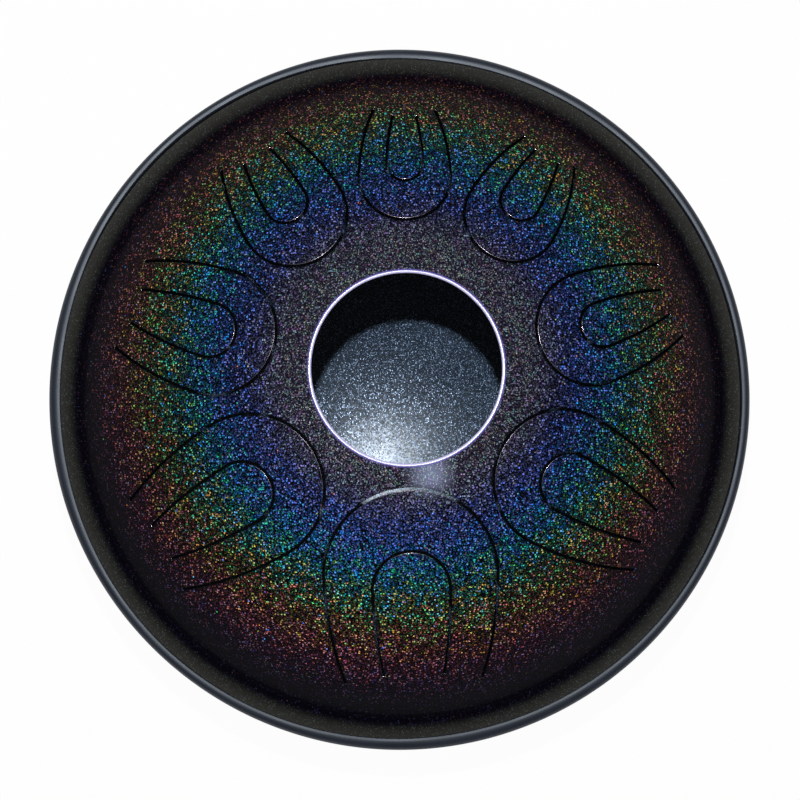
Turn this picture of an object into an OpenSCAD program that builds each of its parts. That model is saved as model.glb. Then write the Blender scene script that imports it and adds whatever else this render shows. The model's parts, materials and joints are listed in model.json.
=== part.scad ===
// Steel tongue drum: two domed sheet-steel shells joined at a flat flange,
// with eight tuned tongues cut into the top shell around an offset sound hole.
// Millimetres, +Z up. The origin is on the floor under the drum's axis.

/* [Drum] */
// Diameter over the rubber rim
overall_d = 400; // [320:5:520]
// Height of each dome, from its flange to its crown
dome_h = 79; // [60:1:90]
// Thickness of the steel sheet
sheet_t = 1.8; // [1.2:0.1:2.5]
// Radius of the bend between dome and flange
bend_r = 10; // [6:0.5:14]
// Width of the flat flange, from the bend to the cut edge
flange_w = 10; // [8:0.5:14]

/* [Sound hole] */
// Diameter of the sound hole
hole_d = 101; // [78:1:107]
// How far the hole's centre lies off the drum's axis
hole_offset = 15; // [8:0.5:18]
// Direction of the hole's centre from the axis, in degrees from +X
hole_angle = 84; // [80:1:96]

/* [Tongues] */
// Width of the laser-cut slots
slot_w = 1.6; // [1:0.1:2.4]
// Plain metal between the bend and the circle that the tongues' roots lie on
root_margin = 17.3; // [12:0.1:24]
// Distance from an outer tongue's root line to its inner tongue's root line
inner_root_step = 4; // [3:0.5:8]
// Running gap left at each root line
root_gap = 0.2; // [0.1:0.05:0.4]
// Radius of the leg curves as a multiple of the outer tongue's half width
outer_leg_share = 4.6; // [4:0.1:8]
// Radius of the leg curves as a multiple of the inner tongue's half width
inner_leg_share = 14; // [12:0.5:24]

/* [Longest tongue] */
// Direction of its centre line, in degrees from +X
longest_angle = -87.5; // [-90:0.5:-85]
// Where its tip lies between the edge of the sound hole, 0, and the root circle, 1
longest_tip_share = 0.106; // [0.09:0.001:0.13]
// Half width of its slot as a share of the root circle's radius
longest_half_share = 0.288; // [0.26:0.001:0.295]
// Where the inner tip lies between the outer tip, 0, and the root circle, 1
longest_inner_tip_share = 0.294; // [0.25:0.001:0.35]
// Half width of the inner slot as a share of the outer one
longest_inner_half_share = 0.447; // [0.35:0.001:0.52]

/* [Second tongue] */
// Direction of its centre line, in degrees from +X
second_angle = -149; // [-151:0.5:-147]
// Where its tip lies between the edge of the sound hole, 0, and the root circle, 1
second_tip_share = 0.126; // [0.11:0.001:0.16]
// Half width of its slot as a share of the root circle's radius
second_half_share = 0.245; // [0.22:0.001:0.252]
// Where the inner tip lies between the outer tip, 0, and the root circle, 1
second_inner_tip_share = 0.26; // [0.22:0.001:0.32]
// Half width of the inner slot as a share of the outer one
second_inner_half_share = 0.425; // [0.34:0.001:0.5]

/* [Third tongue] */
// Direction of its centre line, in degrees from +X
third_angle = -27.5; // [-29:0.5:-25]
// Where its tip lies between the edge of the sound hole, 0, and the root circle, 1
third_tip_share = 0.129; // [0.1:0.001:0.17]
// Half width of its slot as a share of the root circle's radius
third_half_share = 0.23; // [0.2:0.001:0.236]
// Where the inner tip lies between the outer tip, 0, and the root circle, 1
third_inner_tip_share = 0.249; // [0.21:0.001:0.31]
// Half width of the inner slot as a share of the outer one
third_inner_half_share = 0.435; // [0.34:0.001:0.5]

/* [Fourth tongue] */
// Direction of its centre line, in degrees from +X
fourth_angle = 161; // [159:0.5:163]
// Where its tip lies between the edge of the sound hole, 0, and the root circle, 1
fourth_tip_share = 0.196; // [0.16:0.001:0.23]
// Half width of its slot as a share of the root circle's radius
fourth_half_share = 0.21; // [0.19:0.001:0.215]
// Where the inner tip lies between the outer tip, 0, and the root circle, 1
fourth_inner_tip_share = 0.246; // [0.2:0.001:0.3]
// Half width of the inner slot as a share of the outer one
fourth_inner_half_share = 0.431; // [0.34:0.001:0.5]

/* [Fifth tongue] */
// Direction of its centre line, in degrees from +X
fifth_angle = 20; // [18:0.5:22]
// Where its tip lies between the edge of the sound hole, 0, and the root circle, 1
fifth_tip_share = 0.206; // [0.17:0.001:0.24]
// Half width of its slot as a share of the root circle's radius
fifth_half_share = 0.189; // [0.17:0.001:0.195]
// Where the inner tip lies between the outer tip, 0, and the root circle, 1
fifth_inner_tip_share = 0.292; // [0.24:0.001:0.35]
// Half width of the inner slot as a share of the outer one
fifth_inner_half_share = 0.399; // [0.32:0.001:0.46]

/* [Sixth tongue] */
// Direction of its centre line, in degrees from +X
sixth_angle = 121; // [120:0.5:123]
// Where its tip lies between the edge of the sound hole, 0, and the root circle, 1
sixth_tip_share = 0.24; // [0.21:0.001:0.28]
// Half width of its slot as a share of the root circle's radius
sixth_half_share = 0.178; // [0.16:0.001:0.181]
// Where the inner tip lies between the outer tip, 0, and the root circle, 1
sixth_inner_tip_share = 0.331; // [0.28:0.001:0.39]
// Half width of the inner slot as a share of the outer one
sixth_inner_half_share = 0.407; // [0.33:0.001:0.48]

/* [Seventh tongue] */
// Direction of its centre line, in degrees from +X
seventh_angle = 59; // [57:0.5:60]
// Where its tip lies between the edge of the sound hole, 0, and the root circle, 1
seventh_tip_share = 0.249; // [0.21:0.001:0.28]
// Half width of its slot as a share of the root circle's radius
seventh_half_share = 0.159; // [0.147:0.001:0.168]
// Where the inner tip lies between the outer tip, 0, and the root circle, 1
seventh_inner_tip_share = 0.335; // [0.28:0.001:0.4]
// Half width of the inner slot as a share of the outer one
seventh_inner_half_share = 0.423; // [0.34:0.001:0.49]

/* [Shortest tongue] */
// Direction of its centre line, in degrees from +X
shortest_angle = 89.5; // [88:0.5:91]
// Where its tip lies between the edge of the sound hole, 0, and the root circle, 1
shortest_tip_share = 0.303; // [0.27:0.001:0.33]
// Half width of its slot as a share of the root circle's radius
shortest_half_share = 0.153; // [0.141:0.001:0.16]
// Where the inner tip lies between the outer tip, 0, and the root circle, 1
shortest_inner_tip_share = 0.331; // [0.28:0.001:0.39]
// Half width of the inner slot as a share of the outer one
shortest_inner_half_share = 0.392; // [0.32:0.001:0.46]

/* [Flange joint] */
// Thickness of the bonding ring between the two flanges
seal_t = 1; // [0.5:0.1:2]
// Width of the bonding ring, measured in from the flange's cut edge
seal_w = 8; // [5:0.5:9]

/* [Rubber rim] */
// Rubber beyond the cut edge of the flanges
rim_nose = 2.5; // [1.5:0.1:4]
// Rubber above and below the flanges
rim_wall = 1.8; // [1.2:0.1:2.5]
// How far the lips of the rim reach over the flanges
rim_cover = 3.5; // [2.5:0.1:5]
// Clearance between the cut edge and the bottom of the rim's channel
rim_gap = 0.2; // [0.1:0.05:0.4]

/* [Feet] */
// Diameter of a foot where it stands
foot_d = 22; // [16:1:28]
// Diameter of a foot where it meets the shell
foot_top_d = 26; // [22:1:32]
// Distance of each foot from the drum's axis
foot_ring_r = 80; // [70:1:100]
// Height of the bottom crown over the floor
foot_clear = 3; // [2:0.5:8]
// Glue line between a foot and the shell
glue_t = 0.1; // [0.05:0.05:0.3]
// Depth of the hollow in the sole of a foot
sole_dish = 1; // [0.5:0.1:2]
// Width of the ring that a foot stands on
sole_ring_w = 4; // [3:0.5:6]

/* [Hidden] */
$fn = 120;

// Tongues from the longest to the shortest
ANGLES = [
    longest_angle, second_angle, third_angle, fourth_angle,
    fifth_angle, sixth_angle, seventh_angle, shortest_angle
];
TIP_SHARES = [
    longest_tip_share, second_tip_share, third_tip_share, fourth_tip_share,
    fifth_tip_share, sixth_tip_share, seventh_tip_share, shortest_tip_share
];
HALF_SHARES = [
    longest_half_share, second_half_share, third_half_share, fourth_half_share,
    fifth_half_share, sixth_half_share, seventh_half_share, shortest_half_share
];
INNER_TIP_SHARES = [
    longest_inner_tip_share, second_inner_tip_share, third_inner_tip_share, fourth_inner_tip_share,
    fifth_inner_tip_share, sixth_inner_tip_share, seventh_inner_tip_share, shortest_inner_tip_share
];
INNER_HALF_SHARES = [
    longest_inner_half_share, second_inner_half_share, third_inner_half_share, fourth_inner_half_share,
    fifth_inner_half_share, sixth_inner_half_share, seventh_inner_half_share, shortest_inner_half_share
];
foot_count = 4;
// Where the legs have drawn in to at the root, as a share of the half width
leg_end_share = 0.88;
// Length by which cuts run past the metal
overrun = 5;
// Steps to the millimetre in which the tongues are laid out
steps_per_mm_count = 100;

shell_colour = [0.08, 0.10, 0.17];
tongue_colour = [0.10, 0.22, 0.30];
inner_colour = [0.34, 0.14, 0.10];
rubber_colour = [0.10, 0.11, 0.12];
seal_colour = [0.45, 0.46, 0.48];

// Heights of the stack, from the floor up
bottom_flange_z = foot_clear + dome_h;
bottom_seal_z = bottom_flange_z + sheet_t;
top_seal_z = bottom_seal_z + seal_t;
top_flange_z = top_seal_z + sheet_t;
joint_z = (bottom_seal_z + top_seal_z) / 2;
crown_z = top_flange_z + dome_h;

// The flange's cut edge, the start of the bend, and the sphere that rolls into the bend
edge_r = overall_d / 2 - rim_nose;
bend_foot_r = edge_r - flange_w;
dome_r = (pow(bend_foot_r, 2) + pow(dome_h, 2) - 2 * bend_r * dome_h) / (2 * dome_h);
dome_centre_z = crown_z - dome_r;
// Where the sphere hands over to the bend
tangent_share = dome_r / (dome_r + bend_r);
tangent_r = bend_foot_r * tangent_share;

// The circle that the tongues' roots lie on
root_r = tangent_r - root_margin;

function angle(i) = ANGLES[i - 1];
function stepped(length) = round(length * steps_per_mm_count) / steps_per_mm_count;

// Distances along a tongue's centre line, from the drum's axis, and half widths across it
function past_hole(i) = angle(i) - hole_angle;
function hole_edge(i) =
    hole_offset * cos(past_hole(i)) + sqrt(pow(hole_d / 2, 2) - pow(hole_offset * sin(past_hole(i)), 2));
function outer_tip(i) = stepped(hole_edge(i) + TIP_SHARES[i - 1] * (root_r - hole_edge(i)));
function outer_half(i) = stepped(HALF_SHARES[i - 1] * root_r);
function inner_tip(i) = stepped(outer_tip(i) + INNER_TIP_SHARES[i - 1] * (root_r - outer_tip(i)));
function inner_half(i) = stepped(INNER_HALF_SHARES[i - 1] * outer_half(i));
function root_u(i) = sqrt(pow(root_r, 2) - pow(leg_end_share * outer_half(i), 2));

// Cross-section under the outside of a shell, or under its inside when it is inset by one sheet
module dome_section(inset) {
    bend_z = top_flange_z + bend_r;
    tangent_z = dome_centre_z + (bend_z - dome_centre_z) * tangent_share;
    floor_z = top_flange_z - inset;
    reach = (dome_r - inset) / dome_r;
    start_r = tangent_r * reach;
    start_z = dome_centre_z + (tangent_z - dome_centre_z) * reach;
    intersection() {
        translate([0, dome_centre_z]) circle(r = dome_r - inset);
        translate([0, floor_z]) square([edge_r, dome_h + inset]);
    }
    difference() {
        polygon([[start_r, floor_z], [bend_foot_r, floor_z], [start_r, start_z]]);
        translate([bend_foot_r, bend_z]) circle(r = bend_r + inset);
    }
}

module shell_section() {
    difference() {
        union() {
            dome_section(0);
            translate([0, top_seal_z]) square([edge_r, sheet_t]);
        }
        dome_section(sheet_t);
    }
}

module plain_shell() {
    rotate_extrude() shell_section();
}

// The sheet of the dome alone, which every tongue is cut from
module dome_sheet() {
    translate([0, 0, dome_centre_z]) difference() {
        sphere(r = dome_r);
        sphere(r = dome_r - sheet_t);
    }
}

// A round head with two long curved legs, lying along +X from its tip to its root line
module drop_outline(tip, half, leg_share, root, grow) {
    leg_r = stepped(leg_share * half);
    head = tip + half;
    intersection() {
        union() {
            translate([head, 0]) circle(r = half + grow);
            intersection() {
                translate([head, half - leg_r]) circle(r = leg_r + grow);
                translate([head, leg_r - half]) circle(r = leg_r + grow);
                translate([head, -half - grow]) square([root, 2 * (half + grow)]);
            }
        }
        translate([tip - half, -half - grow]) square([root - tip + half, 2 * (half + grow)]);
    }
}

module outer_outline(i, root, grow) {
    drop_outline(outer_tip(i), outer_half(i), outer_leg_share, root, grow);
}

module inner_outline(i, root, grow) {
    drop_outline(inner_tip(i), inner_half(i), inner_leg_share, root, grow);
}

module upright(i) {
    rotate([0, 0, angle(i)]) translate([0, 0, top_flange_z]) {
        linear_extrude(dome_h + overrun) children();
    }
}

module top_shell() {
    color(shell_colour) difference() {
        plain_shell();
        for (i = [1:len(ANGLES)]) upright(i) outer_outline(i, root_u(i), slot_w / 2);
        rotate([0, 0, hole_angle]) translate([hole_offset, 0, top_flange_z]) {
            cylinder(d = hole_d, h = dome_h + overrun);
        }
    }
}

module bottom_shell() {
    color(shell_colour) translate([0, 0, 2 * joint_z]) mirror([0, 0, 1]) plain_shell();
}

module flange_seal() {
    color(seal_colour) translate([0, 0, bottom_seal_z]) difference() {
        cylinder(r = edge_r, h = seal_t);
        translate([0, 0, -overrun]) cylinder(r = edge_r - seal_w, h = seal_t + 2 * overrun);
    }
}

module rim_band() {
    rim_half = top_flange_z - joint_z + rim_wall;
    nose_centre_r = overall_d / 2 - rim_half;
    lip_r = edge_r - rim_cover;
    color(rubber_colour) translate([0, 0, joint_z]) rotate_extrude() difference() {
        union() {
            translate([nose_centre_r, 0]) circle(r = rim_half);
            translate([lip_r, -rim_half]) square([nose_centre_r - lip_r, 2 * rim_half]);
        }
        translate([0, -rim_half - overrun]) square([lip_r, 2 * (rim_half + overrun)]);
        translate([0, rim_wall - rim_half]) square([edge_r + rim_gap, 2 * (rim_half - rim_wall)]);
    }
}

module outer_tongue(i) {
    root = root_u(i) - root_gap;
    inner_root = root_u(i) - inner_root_step;
    color(tongue_colour) intersection() {
        dome_sheet();
        upright(i) difference() {
            outer_outline(i, root, -slot_w / 2);
            inner_outline(i, inner_root, slot_w / 2);
        }
    }
}

module inner_tongue(i) {
    root = root_u(i) - inner_root_step - root_gap;
    color(inner_colour) intersection() {
        dome_sheet();
        upright(i) inner_outline(i, root, -slot_w / 2);
    }
}

module foot(i) {
    bottom_centre_z = 2 * joint_z - dome_centre_z;
    foot_h = bottom_centre_z - sqrt(pow(dome_r, 2) - pow(foot_ring_r + foot_top_d / 2, 2));
    color(rubber_colour) rotate([0, 0, (i - 0.5) * 360 / foot_count]) difference() {
        translate([foot_ring_r, 0, 0]) difference() {
            cylinder(d1 = foot_d, d2 = foot_top_d, h = foot_h);
            translate([0, 0, -overrun]) cylinder(d = foot_d - 2 * sole_ring_w, h = sole_dish + overrun);
        }
        translate([0, 0, bottom_centre_z]) sphere(r = dome_r + glue_t);
    }
}

top_shell();
bottom_shell();
flange_seal();
rim_band();
for (i = [1:len(ANGLES)]) {
    outer_tongue(i);
    inner_tongue(i);
}
for (i = [1:foot_count]) {
    foot(i);
}
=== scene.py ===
# %% [markdown]
# A steel tongue drum is a lens of two domed steel sheets, with drop-shaped tongues cut into the upper one.
# Its solids are already made at real size, so this lesson starts by loading them as a fixed frame.
# Everything below is a skin or a finish for those solids, and takes its sizes from them where it can.

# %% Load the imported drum
import json
import math

import bpy
from mathutils import Matrix, Vector, geometry


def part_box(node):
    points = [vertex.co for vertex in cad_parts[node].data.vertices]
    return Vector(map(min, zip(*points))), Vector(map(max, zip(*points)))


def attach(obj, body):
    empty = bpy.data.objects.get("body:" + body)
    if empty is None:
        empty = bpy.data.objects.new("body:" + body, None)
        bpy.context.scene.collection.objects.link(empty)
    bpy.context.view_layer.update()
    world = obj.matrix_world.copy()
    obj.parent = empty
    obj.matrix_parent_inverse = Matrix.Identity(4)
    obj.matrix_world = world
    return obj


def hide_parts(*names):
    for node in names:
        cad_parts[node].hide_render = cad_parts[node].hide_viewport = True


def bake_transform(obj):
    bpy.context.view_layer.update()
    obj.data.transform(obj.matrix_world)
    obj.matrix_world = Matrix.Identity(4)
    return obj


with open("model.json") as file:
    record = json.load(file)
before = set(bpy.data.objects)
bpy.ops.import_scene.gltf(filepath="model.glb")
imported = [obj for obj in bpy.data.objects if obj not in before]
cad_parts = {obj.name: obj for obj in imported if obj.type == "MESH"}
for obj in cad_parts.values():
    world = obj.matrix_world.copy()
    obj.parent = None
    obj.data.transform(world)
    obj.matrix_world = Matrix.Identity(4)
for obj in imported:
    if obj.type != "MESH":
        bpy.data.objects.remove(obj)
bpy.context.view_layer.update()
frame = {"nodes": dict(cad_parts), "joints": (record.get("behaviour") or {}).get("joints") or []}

# %% [markdown]
# The dome is one rule: part of a sphere that rolls through a small bend into a flat flange.
# Its heights and radii are read from the solids, and the few sizes that can't be read are named here.

# %% Sizes of the drum
MM = 0.001
SHEET_T = 1.8 * MM
BEND_R = 10 * MM
FLANGE_W = 10 * MM
SLOT_W = 1.6 * MM
ROOT_GAP = 0.2 * MM
HOLE_R = 50.5 * MM
HOLE_OFFSET = 15 * MM
HOLE_ANGLE = math.radians(84)
TONGUE_COUNT = 8

shell_low, shell_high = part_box("top_shell")
base_low, base_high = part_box("bottom_shell")
_, rim_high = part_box("rim_band")
rim_r = rim_high.x
edge_r = shell_high.x
joint_z = (shell_low.z + base_high.z) / 2
flange_z = shell_low.z + SHEET_T
crown_z = 2 * joint_z - base_low.z
dome_h = crown_z - flange_z
bend_foot_r = edge_r - FLANGE_W
dome_r = (bend_foot_r**2 + dome_h**2 - 2 * BEND_R * dome_h) / (2 * dome_h)
bend_start_r = bend_foot_r * dome_r / (dome_r + BEND_R)
dome_centre_z = crown_z - dome_r
hole_x = HOLE_OFFSET * math.cos(HOLE_ANGLE)
hole_y = HOLE_OFFSET * math.sin(HOLE_ANGLE)
print(f"dome radius {dome_r / MM:.1f} mm, bend from {bend_start_r / MM:.1f} to {bend_foot_r / MM:.1f} mm")

# %% [markdown]
# The camera comes before the pieces. The photograph was taken from about a metre above the drum,
# a little to the left of its axis and below it, so the view leans by two or three degrees.
# Looking almost straight down, an aim along world Z would leave the picture's turn undecided,
# so the three axes of the camera are worked out from +Y as the picture's upward direction.

# %% Camera
SENSOR_W = 36
CAMERA_PLACE = Vector((-20.8 * MM, -18.1 * MM, 1084.3 * MM))
CAMERA_AIM = Vector((-0.5 * MM, -0.8 * MM, joint_z))
RIM_SHARE = 0.8753
PICTURE_UP = Vector((0, 1, 0))


def in_scene(name, data):
    """A new object that holds this data, linked to the scene."""
    thing = bpy.data.objects.new(name, data)
    bpy.context.scene.collection.objects.link(thing)
    return thing


def look_along(back, up_hint):
    """A turn whose -Z looks against back and whose Y is as near to up_hint as it can be."""
    right = up_hint.cross(back).normalized()
    up = back.cross(right)
    return Matrix((right, up, back)).transposed()


camera_data = bpy.data.cameras.new("camera")
camera = in_scene("camera", camera_data)
back = (CAMERA_PLACE - CAMERA_AIM).normalized()
camera.matrix_world = Matrix.Translation(CAMERA_PLACE) @ look_along(back, PICTURE_UP).to_4x4()
camera_data.sensor_width = SENSOR_W
camera_data.lens = SENSOR_W * RIM_SHARE * (CAMERA_PLACE - CAMERA_AIM).length / (2 * rim_r)
bpy.context.scene.camera = camera
print(f"lens {camera_data.lens:.1f} mm")

# %% [markdown]
# Materials and geometry trees are both graphs of nodes. Long sums are hard to read as links,
# so a small class wraps a socket and turns + - * / into Math nodes.
# One method adds any other node: it takes the node's type, its settings and what goes into its sockets.

# %% Node helpers
def open_socket(sockets, key):
    """The socket with this name, or at this place, among those in use."""
    used = [socket for socket in sockets if socket.enabled]
    if isinstance(key, int):
        return used[key]
    return next(socket for socket in used if socket.name == key)


def math_operator(operation):
    """An operator that adds a Math node."""
    return lambda value, other: value.nodes.math(operation, value, other)


class Value:
    """A number, colour or vector that comes out of a node."""

    def __init__(self, nodes, socket):
        self.nodes = nodes
        self.socket = socket

    def __rsub__(self, other):
        return self.nodes.math("SUBTRACT", other, self)

    __add__ = __radd__ = math_operator("ADD")
    __sub__ = math_operator("SUBTRACT")
    __mul__ = __rmul__ = math_operator("MULTIPLY")
    __truediv__ = math_operator("DIVIDE")
    __pow__ = math_operator("POWER")
    __lt__ = math_operator("LESS_THAN")
    __gt__ = math_operator("GREATER_THAN")


class Nodes:
    """Adds nodes to one tree."""

    def __init__(self, tree):
        self.tree = tree

    def add(self, kind, settings=None, sockets=None):
        node = self.tree.nodes.new(kind)
        for name, setting in (settings or {}).items():
            if name == "stops":
                fill_ramp(node.color_ramp, setting)
            else:
                setattr(node, name, setting)
        for key, value in (sockets or {}).items():
            socket = open_socket(node.inputs, key)
            if isinstance(value, Value):
                self.tree.links.new(value.socket, socket)
            else:
                socket.default_value = value
        return lambda key: Value(self, open_socket(node.outputs, key))

    def math(self, operation, *values):
        return self.add("ShaderNodeMath", {"operation": operation}, dict(enumerate(values)))(0)

    def vector(self, operation, *values):
        return self.add("ShaderNodeVectorMath", {"operation": operation}, dict(enumerate(values)))(0)

    def scaled(self, colour, amount):
        """A colour or vector times a number."""
        settings = {"operation": "SCALE"}
        return self.add("ShaderNodeVectorMath", settings, {"Vector": colour, "Scale": amount})(0)

    def added(self, total, *others):
        """Colours or vectors added up."""
        for other in others:
            total = self.vector("ADD", total, other)
        return total

    def between(self, value, low, high, first=0.0, last=1.0):
        """Turns smoothly from first to last while value goes from low to high."""
        settings = {"interpolation_type": "SMOOTHSTEP"}
        sockets = {"Value": value, "From Min": low, "From Max": high, "To Min": first, "To Max": last}
        return self.add("ShaderNodeMapRange", settings, sockets)("Result")

    def mixed(self, factor, first, second):
        """first where factor is 0, and second where it is 1."""
        sockets = {"Factor": factor, "A": first, "B": second}
        return self.add("ShaderNodeMix", {"data_type": "RGBA"}, sockets)("Result")

    def noise(self, place, scale, detail):
        sockets = {"Vector": place, "Scale": scale, "Detail": detail}
        return self.add("ShaderNodeTexNoise", None, sockets)("Fac")


def fill_ramp(ramp, stops):
    """Sets a colour ramp's stops from (place, colour) pairs."""
    while len(ramp.elements) < len(stops):
        ramp.elements.new(1.0)
    for element, (place, colour) in zip(ramp.elements, stops):
        element.position = place
        element.color = (*colour, 1.0)


# %% [markdown]
# Every shell and tongue is the same sheet of steel, pressed to the same dome, so one Geometry Nodes tree
# presses them all. A flat blank goes in: its points know which face of the sheet they belong to (depth)
# and how far the rounding of a cut edge lowers them (drop). The tree works out the height of each point
# and gives the blank its paint. The lower shell uses it too, turned upside down.

# %% The tree that presses a blank into a dome
def new_tree(name, **sizes):
    """A geometry tree whose inputs are geometry, the sizes named for each kind of socket, and a material."""
    tree = bpy.data.node_groups.new(name, "GeometryNodeTree")
    tree.interface.new_socket("Geometry", in_out="OUTPUT", socket_type="NodeSocketGeometry")
    for kind, labels in {"Geometry": ["Geometry"], **sizes, "Material": ["Material"]}.items():
        for label in labels:
            tree.interface.new_socket(label, in_out="INPUT", socket_type="NodeSocket" + kind)
    nodes = Nodes(tree)
    return tree, nodes, nodes.add("NodeGroupInput")


def finish_tree(nodes, shape, material):
    """Ends a tree with plain, painted geometry."""
    plain = nodes.add("GeometryNodeRealizeInstances", None, {"Geometry": shape})(0)
    painted = nodes.add("GeometryNodeSetMaterial", None, {"Geometry": plain, "Material": material})(0)
    nodes.add("NodeGroupOutput", None, {"Geometry": painted})


def point_number(nodes, name):
    """A number that the blank carries at each of its points."""
    return nodes.add("GeometryNodeInputNamedAttribute", {"data_type": "FLOAT"}, {"Name": name})("Attribute")


def pressing_tree():
    tree, nodes, given = new_tree("press_into_dome", Float=[
        "Dome radius", "Bend radius", "Bend foot radius", "Crown height", "Flange height",
        "Sheet thickness", "Joint height", "Side"])
    depth = point_number(nodes, "depth")
    drop = point_number(nodes, "drop")
    place = nodes.add("ShaderNodeSeparateXYZ", None, {0: nodes.add("GeometryNodeInputPosition")(0)})
    reach = nodes.math("SQRT", place("X") ** 2 + place("Y") ** 2)
    inset = depth * given("Sheet thickness")
    ball_r = given("Dome radius") - inset
    bend_r = given("Bend radius") + inset
    ball_z = given("Crown height") - given("Dome radius") + nodes.math("SQRT", ball_r**2 - reach**2)
    bend_top = given("Flange height") + given("Bend radius")
    bend_z = bend_top - nodes.math("SQRT", bend_r**2 - (given("Bend foot radius") - reach) ** 2)
    bend_share = ball_r / (given("Dome radius") + given("Bend radius"))
    on_ball = reach < given("Bend foot radius") * bend_share
    off_flange = reach < given("Bend foot radius")
    flat_z = given("Flange height") - inset
    low_z = off_flange * bend_z + (1 - off_flange) * flat_z
    up_z = on_ball * ball_z + (1 - on_ball) * low_z - drop - given("Joint height")
    height = given("Joint height") + given("Side") * up_z
    pressed_place = nodes.add("ShaderNodeCombineXYZ", None, {0: place("X"), 1: place("Y"), 2: height})(0)
    moved = {"Geometry": given("Geometry"), "Position": pressed_place}
    pressed = nodes.add("GeometryNodeSetPosition", None, moved)(0)
    turned_over = given("Side") < 0
    flipped = nodes.add("GeometryNodeFlipFaces", None, {"Mesh": pressed, "Selection": turned_over})(0)
    finish_tree(nodes, flipped, given("Material"))
    return tree


def baked(name, start_mesh, tree, values):
    """An object whose mesh is what the tree makes of start_mesh, as a plain smooth mesh with no modifier."""
    thing = in_scene(name, start_mesh)
    modifier = thing.modifiers.new("shape", "NODES")
    modifier.node_group = tree
    for item in tree.interface.items_tree:
        if item.name in values and item.in_out == "INPUT":
            modifier[item.identifier] = values[item.name]
    graph = bpy.context.evaluated_depsgraph_get()
    made = thing.evaluated_get(graph)
    plain = bpy.data.meshes.new_from_object(made, preserve_all_data_layers=True, depsgraph=graph)
    thing.modifiers.clear()
    thing.data = plain
    plain.name = name
    plain.polygons.foreach_set("use_smooth", [True] * len(plain.polygons))
    return thing


press = pressing_tree()
print("tree inputs:", [item.name for item in press.interface.items_tree if item.in_out == "INPUT"])

# %% [markdown]
# The paint is the drum's whole character: near-black lacquer full of holographic flakes.
# A flake is a Voronoi cell: its distance draws a round dot, and its random colour gives three numbers
# that say how far it strays from its neighbours' colour, how bright it is and how pale.
# The flakes' colour goes into the diffuse base: mirror flakes would throw the pale horizon back instead.

# %% Finishes and flakes
MIDDLE_GREY = (0.5, 0.5, 0.5)
FINE_DETAIL = 3.0
WIDE_DETAIL = 2.0


def new_finish(name):
    """A material and its node helper."""
    material = bpy.data.materials.new(name)
    material.use_nodes = True
    material.node_tree.nodes.clear()
    return material, Nodes(material.node_tree)


def end_finish(nodes, settings):
    """Ends a material with the main shader and what goes into its sockets."""
    shader = nodes.add("ShaderNodeBsdfPrincipled", None, settings)("BSDF")
    nodes.add("ShaderNodeOutputMaterial", None, {"Surface": shader})


class Flakes:
    """Cells of about this size. Each has a random colour and three random numbers."""

    def __init__(self, nodes, place, size):
        sockets = {"Vector": place, "Scale": 1 / size}
        cells = nodes.add("ShaderNodeTexVoronoi", {"voronoi_dimensions": "3D"}, sockets)
        self.nodes = nodes
        self.distance = cells("Distance")
        self.colour = cells("Color")
        numbers = nodes.add("ShaderNodeSeparateColor", None, {0: self.colour})
        self.luck, self.bright, self.pale = numbers("Red"), numbers("Green"), numbers("Blue")

    def dots(self, full, end):
        """1 in each cell's middle and 0 between the cells, with a soft edge from full to end."""
        return 1 - self.nodes.between(self.distance, full, end)

    def glow(self, power, gain, least):
        """What a flake throws back: the higher the power, the fewer flakes outshine the others."""
        return self.bright**power * gain + least


def surface_value(nodes, name):
    """A number that the mesh carries at each of its points."""
    return nodes.add("ShaderNodeAttribute", {"attribute_name": name})("Fac")


def tilted_normal(nodes, lean, amount):
    """The surface's normal, leaning at random by up to about half of amount."""
    normal = nodes.add("ShaderNodeNewGeometry")("Normal")
    tilt = nodes.vector("SUBTRACT", lean, MIDDLE_GREY)
    return nodes.vector("NORMALIZE", nodes.added(normal, nodes.scaled(tilt, amount)))


# %% [markdown]
# Which colour a real flake throws back depends on where it sits between light and eye,
# so rings of violet, blue, green, gold and red lie around the sound hole. The rings are painted here by
# their distance from a centre on the dome, and every flake strays a little from its ring's colour.

# %% Rings of colour
RING_X = 2 * MM
RING_Y = 19 * MM
RING_REACH = 200 * MM
STRAY_MIDDLE = 0.62
HUE_STRAY = 0.20
RING_STOPS = (
    (0.29, (0.10, 0.11, 0.18)),
    (0.36, (0.050, 0.062, 0.19)),
    (0.42, (0.045, 0.058, 0.32)),
    (0.48, (0.012, 0.085, 0.45)),
    (0.53, (0.00, 0.14, 0.40)),
    (0.575, (0.00, 0.24, 0.24)),
    (0.62, (0.01, 0.27, 0.07)),
    (0.66, (0.14, 0.21, 0.02)),
    (0.70, (0.27, 0.12, 0.01)),
    (0.745, (0.235, 0.042, 0.040)),
    (0.80, (0.125, 0.020, 0.042)),
    (0.87, (0.068, 0.016, 0.05)),
    (0.95, (0.035, 0.015, 0.12)),
)


def plan_distance(nodes, axes, x, y):
    """Distance from a point of the plan view, seen from above."""
    return nodes.math("SQRT", (axes("X") - x) ** 2 + (axes("Y") - y) ** 2)


def ring_colour(nodes, ring_r, luck, stray):
    """The colour of a flake at ring_r, which its luck moves inwards or outwards by a share of stray."""
    ring_share = ring_r / RING_REACH + (luck - STRAY_MIDDLE) * stray
    return nodes.add("ShaderNodeValToRGB", {"stops": RING_STOPS}, {"Fac": ring_share})("Color")


# %% [markdown]
# Flakes lie in small clusters of one colour, and between them lies finer dust. Among the blues all flakes
# are fairly bright, most of all in the painted light, and elsewhere a few outshine the others. Around a
# spot on the -Y side flakes and dust are painted brighter, as painted light. Close to the hole dust in all
# hues takes over, on a faint painted sheen, and just below the hole a soft bloom of the lamp is painted in
# as a painted highlight. Towards the flange the glitter is painted darker, as painted shade.

# %% Flakes and dust
LACQUER = (0.001, 0.001, 0.003)

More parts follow.
